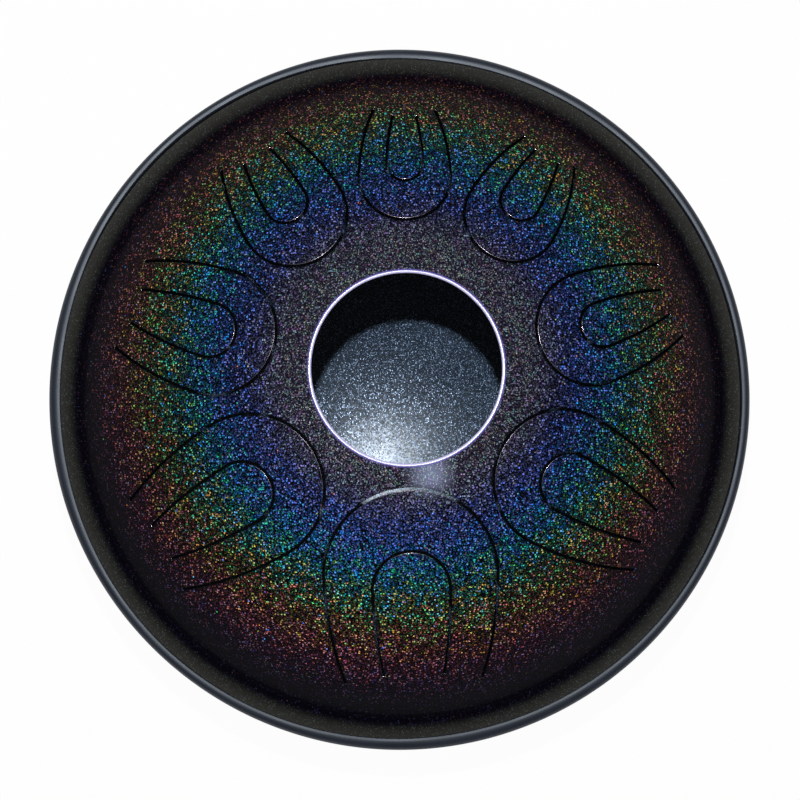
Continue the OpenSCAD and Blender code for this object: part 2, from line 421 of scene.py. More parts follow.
# A pair is where a smooth change starts and ends. A glow is a power, a gain and the least that is left.
FLAKE_D = 1.15 * MM
FLAKE_DOT = (0.30, 0.48)
CLUSTER_D = 2.3 * MM
PALE_FLAKE = (0.17, 0.16, 0.18, 1.0)
PALE_SHARE = 0.36
ODD_LUCK = (0.90, 0.92)
ODD_STRAY = 0.9
EVEN_GLOW = (2.2, 1.5, 0.33)
UNEVEN_GLOW = (4, 4.0, 0.1)
EVEN_R = (108 * MM, 134 * MM)
EVEN_PAINTED_LIGHT_SHARE = 0.6

# Dust between the flakes
DUST_D = 0.75 * MM
DUST_DOT = (0.25, 0.5)
DUST_POWER = 3
DUST_GAIN = 0.8
DUST_LEAST = 0.08
EVEN_DUST = 0.1

# Close to the hole
NEAR_R = (60 * MM, 88 * MM)
NEAR_DUST = (0.15, 0.12, 0.24, 1.0)
NEAR_DUST_GAIN = 0.6
# A faint painted sheen close to the hole
NEAR_PAINTED_SHEEN = (0.004, 0.003, 0.008)
NEAR_DIM_SHARE = 0.5
ANY_HUE_GAIN = 0.34
FLAKE_ANY_SHARE = 0.45
DUST_ANY_SHARE = 0.5

# Where the painted light is strongest, and where the painted bloom lies: x, y and reach in the plan view
PAINTED_LIGHT_SPOT = (-15 * MM, -100 * MM, 150 * MM)
PAINTED_LIGHT_GAIN = 0.65
PAINTED_BLOOM_SPOT = (14 * MM, -41 * MM, 16 * MM)
PAINTED_BLOOM = (0.155, 0.18, 0.27)
# Painted shade: the glitter is painted darker towards the flange, between these radii, down to the least
# share
OUTER_SHADE_Y = 7 * MM
OUTER_SHADE_R = (148 * MM, 183 * MM)
OUTER_SHADE_LEAST = 0.08


def flake_colour(nodes, ring_r, near, flake, cluster):
    """Each cluster keeps to one colour, and some are pale. A few flakes have any ring's colour."""
    odd = nodes.between(flake.luck, *ODD_LUCK)
    hue = ring_colour(nodes, ring_r, cluster.luck, HUE_STRAY + odd * ODD_STRAY)
    hue = nodes.mixed(cluster.pale * PALE_SHARE, hue, PALE_FLAKE)
    return nodes.mixed(near * FLAKE_ANY_SHARE, hue, nodes.scaled(cluster.colour, ANY_HUE_GAIN))


def dust_colour(nodes, ring_r, near, dust):
    """Dust follows the rings, and close to the hole it takes any hue."""
    hue = ring_colour(nodes, ring_r, dust.luck, HUE_STRAY)
    any_hue = nodes.mixed(DUST_ANY_SHARE, NEAR_DUST, nodes.scaled(dust.colour, ANY_HUE_GAIN))
    return nodes.mixed(near, hue, any_hue)


def spot(nodes, axes, x, y, reach):
    """1 at a point of the plan view, falling smoothly to 0 at this reach."""
    return nodes.between(plan_distance(nodes, axes, x, y), 0.0, reach, 1.0, 0.0)


def sprayed_glitter(nodes, place, axes, flake, dot, dust, speck):
    """The lacquer's colour with its flakes and dust, whose round dots are dot and speck, and its painted
    light and shade.
    """
    ring_r = plan_distance(nodes, axes, RING_X, RING_Y)
    near = nodes.between(ring_r, *NEAR_R, 1.0, 0.0)
    # Painted shade towards the flange, and painted light around a spot on the -Y side
    outer_shade = nodes.between(plan_distance(nodes, axes, 0, OUTER_SHADE_Y), *OUTER_SHADE_R, 1.0, OUTER_SHADE_LEAST)
    painted_light = spot(nodes, axes, *PAINTED_LIGHT_SPOT)
    gain = 1 + painted_light * PAINTED_LIGHT_GAIN
    even = nodes.between(ring_r, *EVEN_R, 1.0, 0.0) * (painted_light * EVEN_PAINTED_LIGHT_SHARE + (1 - EVEN_PAINTED_LIGHT_SHARE))

    sparkle = even * flake.glow(*EVEN_GLOW) + (1 - even) * flake.glow(*UNEVEN_GLOW)
    flake_glow = dot * sparkle * outer_shade * gain * (1 - near * NEAR_DIM_SHARE)
    dust_sparkle = dust.glow(DUST_POWER, DUST_GAIN + near * NEAR_DUST_GAIN, DUST_LEAST) + even * EVEN_DUST
    dust_glow = speck * dust_sparkle * outer_shade * gain
    # The sheen close to the hole and the bloom below it are painted light
    return nodes.added(
        nodes.scaled(flake_colour(nodes, ring_r, near, flake, Flakes(nodes, place, CLUSTER_D)), flake_glow),
        nodes.scaled(dust_colour(nodes, ring_r, near, dust), dust_glow),
        nodes.scaled(NEAR_PAINTED_SHEEN, near),
        nodes.scaled(PAINTED_BLOOM, spot(nodes, axes, *PAINTED_BLOOM_SPOT)),
        LACQUER)


# %% [markdown]
# Three places are finished in another way. The flat flange carries a matte olive film that grows lighter
# towards the rubber. The lip of the hole is painted pale violet-silver with a violet fringe as a painted
# highlight, and its thick glossy coat adds a real highlight. Along the slots the paint is a little darker,
# and the cut faces inside them are painted near-black as painted shade. Where the edge still faces up it is
# worn down to the steel, which gives the small glints. How far a point has dropped below the face says
# where on an edge it is. The underside of the sheet, which faces into the drum, is a plain dark blue.

# %% Flange, lip and cut edges
OLIVE_FILM = (0.034, 0.033, 0.030)
FILM_SPECK = (0.05, 0.07, 0.065)
OLIVE_START_R = 183 * MM
OLIVE_FULL_R = 189 * MM
OLIVE_END_R = 195 * MM
UNDERSIDE = (0.05, 0.06, 0.08, 1.0)
# The lip of the hole: its painted highlight, and around it a painted violet fringe
LIP_PAINTED_HIGHLIGHT = (0.58, 0.56, 0.86, 1.0)
LIP_W = 1.4 * MM
LIP_SOFT = 0.35 * MM
LIP_CLEAR = 6 * MM
PAINTED_FRINGE = (0.12, 0.10, 0.42, 1.0)
FRINGE_W = 1.3 * MM
FRINGE_SHARE = 0.8
WORN_STEEL = (0.42, 0.36, 0.42, 1.0)
# The cut faces inside the slots get painted shade, and the paint beside the slots is a little darker
SLOT_SHADE = (0.008, 0.008, 0.012, 1.0)
ROLL_DROP = 0.02 * MM
EDGE_FULL = 0.03 * MM
BARE_DROP = 0.12 * MM
SLOT_DARKER_SHARE = 0.25
FACE_UP = (0.94, 0.99)


def filmed(nodes, colour, olive, drum_r, dust_glow):
    """The colour under the film, which grows lighter outwards and shows some of the dust."""
    film = nodes.scaled(OLIVE_FILM, (drum_r - OLIVE_START_R) / (OLIVE_END_R - OLIVE_START_R))
    return nodes.mixed(olive, colour, nodes.added(film, nodes.scaled(FILM_SPECK, dust_glow)))


def with_lip_highlight(nodes, colour, lip_highlight, lip_r):
    """The colour with the lip's painted highlight and its painted violet fringe."""
    fringe = nodes.between(lip_r, LIP_W, LIP_W + FRINGE_W, FRINGE_SHARE, 0.0)
    return nodes.mixed(lip_highlight, nodes.mixed(fringe, colour, PAINTED_FRINGE), LIP_PAINTED_HIGHLIGHT)


def worn_share(nodes, edge):
    """How bare a rounded edge is: most where it faces up."""
    facing = nodes.add("ShaderNodeSeparateXYZ", None, {0: nodes.add("ShaderNodeNewGeometry")("Normal")})
    return edge * nodes.between(facing("Z"), *FACE_UP)


# %% [markdown]
# Now the layers go over each other in a painter's order: the glitter, the film, the lip and the edges.
# One shader carries them all. Its flakes lean a little each, so they don't glint together, and its base
# has hardly any gloss, so the thin clear coat alone reflects. The coat is thick on the lip of the hole.

# %% Glitter paint
FLAKE_TILT = 0.35
FLAKE_METALLIC = 0.1
PAINT_ROUGHNESS = 0.5
FILM_ROUGHNESS = 0.25
WORN_POLISH = 0.28
PAINT_SPECULAR = 0.04
COAT_WEIGHT = 0.04
COAT_ROUGHNESS = 0.16


def glitter_paint():
    material, nodes = new_finish("glitter_paint")
    place = nodes.add("ShaderNodeTexCoord")("Object")
    axes = nodes.add("ShaderNodeSeparateXYZ", None, {0: place})
    drum_r = plan_distance(nodes, axes, 0, 0)
    lip_r = plan_distance(nodes, axes, hole_x, hole_y) - HOLE_R
    drop = surface_value(nodes, "drop")
    edge = nodes.between(drop, ROLL_DROP, ROLL_DROP + EDGE_FULL)
    olive = nodes.between(drum_r, OLIVE_START_R, OLIVE_FULL_R)
    # The band of painted highlight on the lip
    lip_highlight = nodes.between(lip_r, LIP_W - LIP_SOFT, LIP_W + LIP_SOFT, 1.0, 0.0)
    at_hole = lip_r < LIP_CLEAR
    at_slots = lip_r > LIP_CLEAR
    # A little darker along the slots, and painted shade on the cut faces inside them
    thin = nodes.between(drop, 0.0, ROLL_DROP) * at_slots
    cut = nodes.between(drop, BARE_DROP, 2 * BARE_DROP) * at_slots
    worn = worn_share(nodes, edge * at_slots)

    flake = Flakes(nodes, place, FLAKE_D)
    dust = Flakes(nodes, place, DUST_D)
    dot = flake.dots(*FLAKE_DOT)
    speck = dust.dots(*DUST_DOT)
    colour = sprayed_glitter(nodes, place, axes, flake, dot, dust, speck)
    colour = nodes.scaled(colour, 1 - thin * SLOT_DARKER_SHARE)
    colour = filmed(nodes, colour, olive, drum_r, speck * dust.bright**DUST_POWER)
    colour = with_lip_highlight(nodes, colour, lip_highlight, lip_r)
    colour = nodes.mixed(surface_value(nodes, "depth"), colour, UNDERSIDE)
    # Painted shade on the cut faces
    colour = nodes.mixed(cut, colour, SLOT_SHADE)
    colour = nodes.mixed(worn, colour, WORN_STEEL)
    end_finish(nodes, {
        "Base Color": colour,
        "Metallic": nodes.math("MAXIMUM", dot * FLAKE_METALLIC * (1 - olive), worn),
        "Roughness": PAINT_ROUGHNESS + olive * FILM_ROUGHNESS - worn * WORN_POLISH,
        "Normal": tilted_normal(nodes, flake.colour, dot * FLAKE_TILT * (1 - olive) * (1 - lip_highlight) * (1 - edge)),
        "Coat Weight": nodes.math("MAXIMUM", COAT_WEIGHT * (1 - olive) * (1 - cut), edge * at_hole),
        "Coat Roughness": COAT_ROUGHNESS,
        "Specular IOR Level": PAINT_SPECULAR,
    })
    return material


glitter = glitter_paint()
print("glitter paint nodes:", len(glitter.node_tree.nodes))

# %% [markdown]
# The lower shell is sprayed inside with silver flakes. The lamp shows there as a wide hazy patch and not
# as a disc, because the gloss is cloudy and the flakes lean all ways. The metal is not a perfect bowl:
# a small constant lean of the shading normal moves that patch to where the real shell has it.
# Outside, the shell is black with sparse fine glitter under a thin clear coat.

# %% Paint of the lower shell
SILVER = (0.25, 0.36, 0.56)
SILVER_BASE = (0.010, 0.020, 0.036)
SILVER_D = 0.78 * MM
SILVER_DOT = (0.28, 0.5)
SILVER_GLOW = (2.6, 1.1, 0.17)
SILVER_METALLIC = 0.2
SILVER_TILT = 0.17
FLOOR_TILT = 0.05
FLOOR_LEAN = (-0.054, -0.048, 0.0)
FLOOR_TINT = (0.81, 0.905, 1.0, 1.0)
FLOOR_SPECULAR = 0.46
FLOOR_ROUGHNESS = 0.20
CLOUD_ROUGHNESS = 0.14
SILVER_ROUGHNESS = 0.08
CLOUDS_PER_METRE = 22.0
SPARSE = (0.16, 0.18, 0.26)
SPARSE_POWER = 6
SPARSE_GAIN = 1.5
OUTSIDE_COAT = 0.3


def shell_paint():
    material, nodes = new_finish("shell_paint")
    place = nodes.add("ShaderNodeTexCoord")("Object")
    inside = surface_value(nodes, "depth")
    flake = Flakes(nodes, place, SILVER_D)
    dot = flake.dots(*SILVER_DOT)
    silver = nodes.added(nodes.scaled(SILVER, dot * flake.glow(*SILVER_GLOW)), SILVER_BASE)
    outside = nodes.added(nodes.scaled(SPARSE, dot * flake.bright**SPARSE_POWER * SPARSE_GAIN), LACQUER)
    clouds = nodes.noise(place, CLOUDS_PER_METRE, FINE_DETAIL)
    normal = tilted_normal(nodes, flake.colour, FLOOR_TILT + dot * SILVER_TILT)
    end_finish(nodes, {
        "Base Color": nodes.mixed(inside, outside, silver),
        "Metallic": inside * dot * SILVER_METALLIC,
        "Roughness": FLOOR_ROUGHNESS + clouds * CLOUD_ROUGHNESS + dot * SILVER_ROUGHNESS,
        "Normal": nodes.vector("NORMALIZE", nodes.added(normal, nodes.scaled(FLOOR_LEAN, inside))),
        "Coat Weight": (1 - inside) * OUTSIDE_COAT,
        "Coat Roughness": COAT_ROUGHNESS,
        "Specular IOR Level": FLOOR_SPECULAR,
        "Specular Tint": FLOOR_TINT,
    })
    return material


base_paint = shell_paint()
print("lower shell paint nodes:", len(base_paint.node_tree.nodes))

# %% [markdown]
# The rubber parts share one recipe: dark, slightly blue rubber, a fine moulded grain from noise, and
# a colour and roughness that wander a little. The rim is glossier than the feet, and the bonding is a
# grey paste.

# %% Rubber and bonding
RUBBER_TINT = (0.82, 0.90, 1.0, 1.0)
RIM_RUBBER = (0.009, 0.012, 0.022)
RIM_ROUGHNESS = 0.5
RIM_GRAIN = 0.6 * MM
RIM_SPECULAR = 0.8
FOOT_RUBBER = (0.018, 0.018, 0.019)
FOOT_ROUGHNESS = 0.62
FOOT_GRAIN = 0.4 * MM
FOOT_SPECULAR = 0.4
BONDING_GREY = (0.16, 0.17, 0.18)
BONDING_ROUGHNESS = 0.7
BONDING_SPECULAR = 0.3
GRAIN_DEPTH = 0.02 * MM
GRAIN_STRENGTH = 0.4
WIDE_SHARE = 0.02
PALER_BY = 0.5
ROUGHER_BY = 0.16


def rubber(name, colour, roughness, grain, specular):
    material, nodes = new_finish(name)
    place = nodes.add("ShaderNodeTexCoord")("Object")
    fine = nodes.noise(place, 1 / grain, FINE_DETAIL)
    wide = nodes.noise(place, WIDE_SHARE / grain, WIDE_DETAIL)
    bump = {"Strength": GRAIN_STRENGTH, "Distance": GRAIN_DEPTH, "Height": fine}
    end_finish(nodes, {
        "Base Color": nodes.scaled(colour, 1 - PALER_BY / 2 + wide * PALER_BY),
        "Roughness": roughness - ROUGHER_BY / 2 + wide * ROUGHER_BY,
        "Normal": nodes.add("ShaderNodeBump", None, bump)("Normal"),
        "Specular IOR Level": specular,
        "Specular Tint": RUBBER_TINT,
    })
    return material


rim_rubber = rubber("rim_rubber", RIM_RUBBER, RIM_ROUGHNESS, RIM_GRAIN, RIM_SPECULAR)
foot_rubber = rubber("foot_rubber", FOOT_RUBBER, FOOT_ROUGHNESS, FOOT_GRAIN, FOOT_SPECULAR)
bonding_paste = rubber("bonding_paste", BONDING_GREY, BONDING_ROUGHNESS, FOOT_GRAIN, BONDING_SPECULAR)
print("materials:", [material.name for material in bpy.data.materials])

# %% [markdown]
# A tongue's outline is a round head with two long curved legs. The head's centre, its half width and the
# root line are read from the solids, turned so that the tongue lies along +X. The legs are arcs of large
# circles, and an offset outline is the same rule with every radius grown.

# %% Tongue outlines, read from the solids
OUTER_LEG_SHARE = 4.6
INNER_LEG_SHARE = 14


class Outline:
    """The slot around one tongue, in the tongue's own plan view: u runs from tip to root, v across."""

    def __init__(self, node, angle, leg_share):
        turn = Matrix.Rotation(-angle, 3, "Z")
        points = [turn @ vertex.co for vertex in frame["nodes"][node].data.vertices]
        widest = max(points, key=lambda point: point.y)
        self.angle = angle
        self.c, self.s = math.cos(angle), math.sin(angle)
        self.head = widest.x
        self.half = widest.y + SLOT_W / 2
        self.root = max(point.x for point in points) + ROOT_GAP
        self.leg_r = leg_share * self.half

    def leg_v(self, u, grow):
        """Half width of the outline at u, where it has grown by this much."""
        return self.half - self.leg_r + math.sqrt((self.leg_r + grow) ** 2 - (u - self.head) ** 2)

    def to_plan(self, u, v):
        """From the tongue's own view to the drum's plan."""
        return (u * self.c - v * self.s, u * self.s + v * self.c)

    def from_plan(self, x, y):
        return (x * self.c + y * self.s, y * self.c - x * self.s)

    def short_of_root(self, x, y, clear=0.0):
        """Whether a point of the plan lies on the tip's side of the root line, by this much or more."""
        return self.from_plan(x, y)[0] < self.root - clear

    def holds(self, x, y, grow):
        """Whether a point of the plan lies inside the grown outline and not far past the root line."""
        u, v = self.from_plan(x, y)
        if u < self.head:
            return (u - self.head) ** 2 + v**2 < (self.half + grow) ** 2
        return u < self.root + max(grow, 0) and abs(v) < self.leg_v(min(u, self.root), grow)

    def window_holds(self, x, y):
        """Whether a point of the plan lies in the window that is cut for this tongue."""
        return self.holds(x, y, SLOT_W / 2) and self.short_of_root(x, y)


angles = {joint["name"]: math.atan2(joint["pos_m"][1], joint["pos_m"][0]) for joint in frame["joints"]}
outer_outlines = []
inner_outlines = []
for number in range(1, TONGUE_COUNT + 1):
    angle = angles[f"tongue_{number}_flex"]
    outer_outlines.append(Outline(f"tongue_{number}", angle, OUTER_LEG_SHARE))
    inner_outlines.append(Outline(f"inner_tongue_{number}", angle, INNER_LEG_SHARE))
for outline in outer_outlines:
    print(f"{math.degrees(outline.angle):.1f} deg, head {outline.head / MM:.2f}, "
          f"half {outline.half / MM:.2f}, root {outline.root / MM:.2f}")

# %% [markdown]
# Each blank is drawn flat: loops follow every cut edge, five close ones for its rounding and one more to
# hold it, and rings of points fill the rest. Blender's constrained Delaunay triangulation joins them all.
# A tongue and its shell meet at the root line, where the metal is one in reality, so both use the same
# points there and no seam shows.

# %% Loops along the cut edges
EDGE_ROUND = 0.28 * MM
HOLD_W = 1.6 * MM
FILL_CLEAR = 1.4 * MM
EDGE_CLEAR = SLOT_W / 2 + HOLD_W + FILL_CLEAR
ROUND_STEPS = 4
HEAD_STEPS = 40
LEG_STEP = 1.8 * MM
SEAM_STEP = 2.2 * MM
END_STEPS = 3
PLAN_SNAP = 1e-7


def edge_loops(radius, hold):
    """Offsets from a rounded edge and how far each lies below the face: a quarter circle and a hold.

    The whole round lies a little low, so that the face rolls off gently towards it.
    """
    turns = [math.pi / 2 * step / ROUND_STEPS for step in range(ROUND_STEPS + 1)]
    rounded = [(radius * (1 - math.cos(turn)), ROLL_DROP + radius * (1 - math.sin(turn))) for turn in turns]
    return rounded + [(hold, 0.0)]


def side_of(outline, grow):
    """One side of a grown outline, from the middle of its head to its root line."""
    radius = outline.half + grow
    side = []
    for step in range(HEAD_STEPS + 1):
        turn = math.pi / 2 * (2 - step / HEAD_STEPS)
        side.append((outline.head + radius * math.cos(turn), radius * math.sin(turn)))
    leg_steps = math.ceil((outline.root - outline.head) / LEG_STEP)
    for step in range(1, leg_steps + 1):
        u = outline.head + (outline.root - outline.head) * step / leg_steps
        side.append((u, outline.leg_v(u, grow)))
    return side


def around_slot_end(outline, offset):
    """From the shell's side of a slot around its end to the root line, at this offset from the slot."""
    v_out = outline.leg_v(outline.root, SLOT_W / 2)
    v_in = outline.leg_v(outline.root, -SLOT_W / 2)
    if offset == 0:
        return [(outline.root, v_in)]
    wide = outline.leg_v(outline.root, SLOT_W / 2 + offset) - v_out
    thin = v_in - outline.leg_v(outline.root, -SLOT_W / 2 - offset)
    turns = [math.pi / 2 * step / END_STEPS for step in range(END_STEPS + 1)]
    outer = [(outline.root + offset * math.sin(turn), v_out + wide * math.cos(turn)) for turn in turns[1:]]
    inner = [(outline.root + offset * math.cos(turn), v_in - thin * math.sin(turn)) for turn in turns]
    return outer + inner


def both_sides(side):
    """A whole outline from one side of it, by way of the tip."""
    return [(u, -v) for u, v in reversed(side[1:])] + side


def seam_points(outline, loops):
    """Points along the root line, from one slot to the other, that shell and tongue share."""
    ends = [outline.leg_v(outline.root, -SLOT_W / 2 - offset) for offset, _ in loops]
    count = math.ceil(2 * ends[-1] / SEAM_STEP)
    middle = [ends[-1] * (1 - 2 * step / count) for step in range(1, count)]
    across = ends + middle + [-v for v in reversed(ends)]
    return [(outline.root, v) for v in across]


# %% [markdown]
# A blank collects these lines with their drops, then loose points between them, and asks for triangles.
# Triangles that lie in a slot or a window are left out, which is how the sheet gets its cuts.

# %% Flat blanks
RING_STEP = 4 * MM
BEND_STEPS = 7
RIM_POINTS = 360
HOLE_POINTS = 240
PLACES_PER_MM = 1000


def plan_key(point):
    """A point of the plan in whole thousandths of a millimetre, by which the same point is found again."""
    return (round(point[0] / MM * PLACES_PER_MM), round(point[1] / MM * PLACES_PER_MM))


def arc(centre, radius, start, end, steps):
    """Points of an arc in a plan or a profile."""
    turns = [start + (end - start) * step / steps for step in range(steps + 1)]
    return [(centre[0] + radius * math.cos(turn), centre[1] + radius * math.sin(turn)) for turn in turns]


class Blank:
    """The plan of one piece of sheet: points with their drop, and the lines that must be edges."""

    def __init__(self):
        self.points = []
        self.lines = []
        self.seam = set()

    def add_line(self, points, drop, closed=False):
        first = len(self.points)
        self.points += [(x, y, drop) for x, y in points]
        last = len(self.points) - 1
        self.lines += [(index, index + 1) for index in range(first, last)]
        if closed:
            self.lines.append((last, first))

    def add_sides(self, outline, side, drop):
        """A line along both sides of a tongue, from one side of it in the tongue's own view."""
        self.add_line([outline.to_plan(u, v) for u, v in both_sides(side)], drop)

    def add_seam(self, outline, loops):
        points = [outline.to_plan(u, v) for u, v in seam_points(outline, loops)]
        self.seam |= {plan_key(point) for point in points}
        self.add_line(points, 0.0)

    def add_window(self, outline, loops):
        """The edge that is left around a tongue, and the root line where the tongue goes on."""
        for offset, drop in loops:
            side = side_of(outline, SLOT_W / 2 + offset) + around_slot_end(outline, offset)
            self.add_sides(outline, side, drop)
        self.add_seam(outline, loops)

    def add_tongue(self, outline, loops):
        """The edge of a tongue and its root line."""
        for offset, drop in loops:
            self.add_sides(outline, side_of(outline, -SLOT_W / 2 - offset), drop)
        self.add_seam(outline, loops)

    def add_circle(self, radius, count, drop=0.0, centre=(0.0, 0.0)):
        self.add_line(arc(centre, radius, 0, 2 * math.pi, count)[:-1], drop, closed=True)

    def fill(self, allowed):
        """Loose points on rings over the dome, where allowed says so."""
        ring_count = int(bend_start_r / RING_STEP)
        for ring in range(1, ring_count):
            radius = ring * bend_start_r / ring_count
            count = round(2 * math.pi * radius / RING_STEP)
            for step in range(count):
                turn = 2 * math.pi * (step + ring % 2 / 2) / count
                x, y = radius * math.cos(turn), radius * math.sin(turn)
                if allowed(x, y):
                    self.points.append((x, y, 0.0))

    def triangles(self, kept):
        """Plan points with their drops, and the triangles whose middle is kept."""
        flat = [Vector((x, y)) for x, y, _ in self.points]
        places, _, faces, sources, *_ = geometry.delaunay_2d_cdt(flat, self.lines, [], 0, PLAN_SNAP)
        drops = [max((self.points[i][2] for i in source), default=0.0) for source in sources]
        chosen = []
        for face in faces:
            middle = sum((places[i] for i in face), Vector((0, 0))) / 3
            if kept(middle.x, middle.y):
                chosen.append(tuple(face))
        return places, drops, chosen


# %% [markdown]
# A blank has a thickness before it is pressed. Its outline is doubled into an outer and an inner face,
# and every open edge gets a wall. Shading stays smooth over the rounded edges and is broken
# where the inner face begins and along a root line, so that light crosses the root line undisturbed.

# %% From a flat plan to a sheet with two faces
def sheet_mesh(name, blank, kept):
    places, drops, faces = blank.triangles(kept)
    used = sorted({i for face in faces for i in face})
    new = {old: index for index, old in enumerate(used)}
    count = len(used)
    upper = [tuple(new[i] for i in face) for face in faces]
    open_edges = {}
    for face in upper:
        for a, b in zip(face, face[1:] + face[:1]):
            if (b, a) in open_edges:
                del open_edges[(b, a)]
            else:
                open_edges[(a, b)] = True
    lower = [tuple(i + count for i in reversed(face)) for face in upper]
    walls = [(b, a, a + count, b + count) for a, b in open_edges]
    points = [(places[i].x, places[i].y, 0.0) for i in used]
    mesh = bpy.data.meshes.new(name)
    mesh.from_pydata(points + points, [], upper + lower + walls)
    values = {"depth": [0.0] * count + [1.0] * count, "drop": [drops[i] for i in used] + [0.0] * count}
    for attribute_name, numbers in values.items():
        mesh.attributes.new(attribute_name, "FLOAT", "POINT").data.foreach_set("value", numbers)
    on_seam = [plan_key(point) in blank.seam for point in points]
    walled = {tuple(sorted(edge)) for edge in open_edges}
    for edge in mesh.edges:
        a, b = sorted(edge.vertices)
        below = a >= count and (a - count, b - count) in walled
        at_root = b < count and (a, b) in walled and on_seam[a] and on_seam[b]
        edge.use_edge_sharp = below or at_root
    return mesh


def dome_normal(x, y):
    """Outward direction of the outer face at a point of the plan."""
    reach = math.hypot(x, y)
    if reach < bend_start_r:
        return Vector((x, y, math.sqrt(dome_r**2 - reach**2))).normalized()
    if reach > bend_foot_r:
        return Vector((0, 0, 1))
    lean = (bend_foot_r - reach) / BEND_R
    return Vector((x / reach * lean, y / reach * lean, math.sqrt(1 - lean**2)))


def true_normals(mesh, side):
    """Gives the outer face the dome's own normals, so that uneven triangles don't show in its gloss."""
    depth = [item.value for item in mesh.attributes["depth"].data]
    drop = [item.value for item in mesh.attributes["drop"].data]
    normals = [(0.0, 0.0, 0.0)] * len(mesh.loops)
    for polygon in mesh.polygons:
        if any(depth[i] > 0 for i in polygon.vertices):
            continue
        for loop in polygon.loop_indices:
            vertex = mesh.loops[loop].vertex_index
            if drop[vertex] == 0:
                place = mesh.vertices[vertex].co
                normal = dome_normal(place.x, place.y)
                normals[loop] = (normal.x, normal.y, normal.z * side)
    mesh.normals_split_custom_set(normals)


def pressed_piece(name, blank, kept, paint, side=1):
    """A blank pressed into the dome and painted."""
    values = {
        "Dome radius": dome_r, "Bend radius": BEND_R, "Bend foot radius": bend_foot_r,
        "Crown height": crown_z, "Flange height": flange_z, "Sheet thickness": SHEET_T,
        "Joint height": joint_z, "Side": float(side), "Material": paint,
    }
    piece = baked(name, sheet_mesh(name + "_blank", blank, kept), press, values)
    true_normals(piece.data, side)
    print(f"{name}: {len(piece.data.vertices)} points")
    return piece


# %% [markdown]
# The upper shell has eight windows and the sound hole, whose edge is dressed round and thickly coated,
# with a painted highlight on it: that bright lip is the first thing that one sees. Its rounding is larger
# than a slot's.

# %% Upper shell
HOLE_ROUND = 1.3 * MM
slot_loops = edge_loops(EDGE_ROUND, HOLD_W)
hole_loops = edge_loops(HOLE_ROUND, 2 * HOLD_W)


def in_hole(x, y, grow):
    return math.hypot(x - hole_x, y - hole_y) < HOLE_R + grow


def shell_fill(x, y):
    near = any(outline.holds(x, y, EDGE_CLEAR) for outline in outer_outlines)
    return not near and not in_hole(x, y, 2 * HOLD_W + FILL_CLEAR)


def shell_kept(x, y):
    cut = any(outline.window_holds(x, y) for outline in outer_outlines)
    return not cut and not in_hole(x, y, 0)


def add_bend_rings(blank):
    """Close rings over the bend and the flange, where the dome's rule changes."""
    for step in range(BEND_STEPS + 1):
        blank.add_circle(bend_start_r + (bend_foot_r - bend_start_r) * step / BEND_STEPS, RIM_POINTS)
    blank.add_circle((bend_foot_r + edge_r) / 2, RIM_POINTS)
    blank.add_circle(edge_r, RIM_POINTS)


shell_blank = Blank()
for outline in outer_outlines:
    shell_blank.add_window(outline, slot_loops)
for offset, drop in hole_loops:
    shell_blank.add_circle(HOLE_R + offset, HOLE_POINTS, drop, (hole_x, hole_y))
add_bend_rings(shell_blank)
shell_blank.fill(shell_fill)
top_skin = pressed_piece("top_shell_skin", shell_blank, shell_kept, glitter)
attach(top_skin, "drum")
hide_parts("top_shell")

# %% [markdown]
# Each tongue is one more blank with a window of its own for the inner tongue.

# %% Tongues and inner tongues
BEND_SPAN = 15 * MM


def bend_at_root(piece, outline):
    """Bakes the piece's place into its mesh; where its root line and a point BEND_SPAN further in lie is
    worked out but not used.
    """
    start_x, start_y = outline.to_plan(outline.root, 0)
    end_x, end_y = outline.to_plan(outline.root - BEND_SPAN, 0)
    height = dome_centre_z + math.sqrt(dome_r**2 - outline.root**2)
    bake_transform(piece)


def roomy(outline, x, y):
    """Whether a loose point is clear of the tongue's cut edge and of its root line."""
    return outline.holds(x, y, -EDGE_CLEAR) and outline.short_of_root(x, y, FILL_CLEAR)


def make_tongue(number):
    outer, inner = outer_outlines[number - 1], inner_outlines[number - 1]
    blank = Blank()
    blank.add_tongue(outer, slot_loops)
    blank.add_window(inner, slot_loops)
    blank.fill(lambda x, y: roomy(outer, x, y) and not inner.holds(x, y, EDGE_CLEAR))
    piece = pressed_piece(
        f"tongue_skin_{number}", blank,
        lambda x, y: outer.holds(x, y, -SLOT_W / 2) and not inner.window_holds(x, y), glitter)
    bend_at_root(piece, outer)
    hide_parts(f"tongue_{number}")


def make_inner_tongue(number):
    inner = inner_outlines[number - 1]
    blank = Blank()
    blank.add_tongue(inner, slot_loops)
    blank.fill(lambda x, y: roomy(inner, x, y))
    piece = pressed_piece(
        f"inner_tongue_skin_{number}", blank, lambda x, y: inner.holds(x, y, -SLOT_W / 2), glitter)
    bend_at_root(piece, inner)
    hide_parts(f"inner_tongue_{number}")


for number in range(1, TONGUE_COUNT + 1):
    make_tongue(number)
    make_inner_tongue(number)

# %% [markdown]
# The lower shell is the same pressing with nothing cut out of it. Through the sound hole its inner face
# shows as a silvery floor, and from the side its outer face shows below the rim.

# %% Lower shell
base_blank = Blank()
base_blank.points.append((0.0, 0.0, 0.0))
add_bend_rings(base_blank)
base_blank.fill(lambda x, y: True)
base_skin = pressed_piece("bottom_shell_skin", base_blank, lambda x, y: True, base_paint, side=-1)
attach(base_skin, "drum")
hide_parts("bottom_shell")

# %% [markdown]
# The rim is a length of U-shaped rubber edging, pushed over both flanges. What follows a path is made by
# sweeping a profile: Curve to Mesh carries the profile around a circle. The profile is drawn once, as
# a round nose that runs on over both flanges, two rounded lips, and the channel that takes the flanges.

